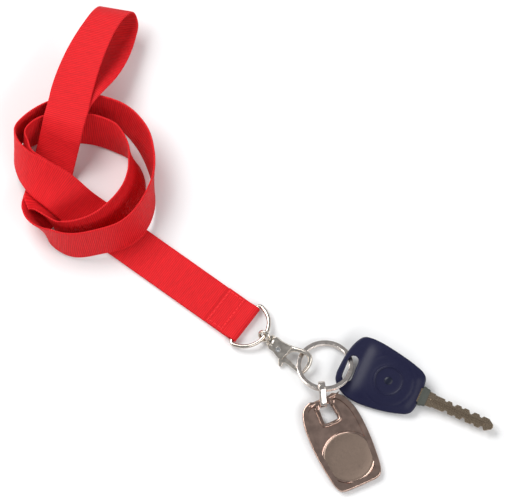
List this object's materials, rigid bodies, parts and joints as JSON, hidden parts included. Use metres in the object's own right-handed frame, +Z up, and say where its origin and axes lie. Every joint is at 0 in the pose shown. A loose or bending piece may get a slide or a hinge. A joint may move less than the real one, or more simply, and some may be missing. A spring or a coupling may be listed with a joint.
{
  "type": "lanyard",
  "caption": "Flat webbing lanyard tied in a loose knot, with a D-ring, swivel snap clasp, split ring, key and tag.",
  "frame": {"origin": "middle of the outline on the floor it lies on", "axes": "+Z up from the floor, +Y away from the viewer, +X to the viewer's right; the clasp and key end is at +X -Y and the bight at -X +Y"},
  "size_m": [0.2278, 0.2406, 0.0243],
  "materials": {
    "webbing": "flat woven polyester, fine cross ribs",
    "thread": "polyester sewing thread",
    "plated_wire": "bright nickel plate",
    "plated_casting": "bright nickel plate over a casting",
    "rivet_steel": "plain steel",
    "spring_steel": "drawn wire",
    "ring_steel": "polished spring steel",
    "key_plastic": "smooth satin plastic",
    "chip_plastic": "moulded resin",
    "key_steel": "nickel silver, milled",
    "bolster_plastic": "moulded, matt",
    "badge_metal": "thin plated ring",
    "stud_plastic": "moulded",
    "link_steel": "bent strip, polished",
    "fob_metal": "bright plated casting",
    "disc_metal": "satin disc, slightly bronze"
  },
  "bodies": {
    "strap": {"strap_tail_upper": "webbing", "strap_tail_lower": "webbing", "strap_fold": "webbing", "strap_stitches": "thread", "strap_outer_turn_far": "webbing", "strap_outer_turn_near": "webbing", "strap_inner_turn_far": "webbing", "strap_inner_turn_near": "webbing", "strap_rise_lower": "webbing", "strap_rise_upper": "webbing", "strap_bight_lower": "webbing", "strap_bight_upper": "webbing"},
    "d_ring": {"d_ring": "plated_wire"},
    "swivel_eye": {"swivel_eye": "plated_casting"},
    "hook": {"hook_body": "plated_casting", "lever_pin": "rivet_steel", "lever_spring": "spring_steel"},
    "lever": {"lever": "plated_casting"},
    "split_ring": {"split_ring": "ring_steel"},
    "key": {"key_bow_front": "key_plastic", "key_bow_back": "key_plastic", "key_transponder": "chip_plastic", "key_blade": "key_steel", "key_bolster": "bolster_plastic", "key_badge": "badge_metal", "key_stud": "stud_plastic"},
    "fob_link": {"fob_link": "link_steel"},
    "fob": {"fob_body": "fob_metal", "fob_disc": "disc_metal"}
  },
  "joints": [
    {"name": "d_ring_hinge", "type": "hinge", "parent": "strap", "child": "d_ring", "pos_m": [-0.00373, -0.03752, 0.002], "axis": [-0.5962, -0.8028, 0], "range_deg": [-30, 110]},
    {"name": "eye_slide_round_bow", "type": "hinge", "parent": "d_ring", "child": "swivel_eye", "pos_m": [-0.00373, -0.03752, 0.002], "axis": [-0.102, 0.0758, 0.9919], "range_deg": [-50, 50]},
    {"name": "clasp_swivel", "type": "hinge", "parent": "swivel_eye", "child": "hook", "pos_m": [0.0097, -0.0471, 0.00361], "axis": [0.8138, -0.5805, 0.0262], "continuous": true},
    {"name": "gate_lever", "type": "hinge", "parent": "hook", "child": "lever", "pos_m": [0.01254, -0.05072, 0.0032], "axis": [-0.2373, -0.2909, 0.9269], "range_deg": [0, 2.2], "stiffness_Nm_per_rad": 0.01, "springref_deg": -20.05},
    {"name": "ring_swing_in_hook", "type": "hinge", "parent": "hook", "child": "split_ring", "pos_m": [0.02235, -0.05612, 0.00341], "axis": [-0.2472, -0.9478, 0.2015], "range_deg": [-1, 20]},
    {"name": "key_slide_round_ring", "type": "hinge", "parent": "split_ring", "child": "key", "pos_m": [0.03437, -0.05912, 0.00405], "axis": [0, 0.2079, 0.9781], "range_deg": [0, 45]},
    {"name": "link_slide_round_ring", "type": "hinge", "parent": "split_ring", "child": "fob_link", "pos_m": [0.03437, -0.05912, 0.00405], "axis": [0, 0.2079, 0.9781], "range_deg": [-45, 0]},
    {"name": "fob_swing_on_link", "type": "hinge", "parent": "fob_link", "child": "fob", "pos_m": [0.03303, -0.07637, 0.00281], "axis": [0.91, 0.4147, 0], "range_deg": [-9, 30]}
  ]
}
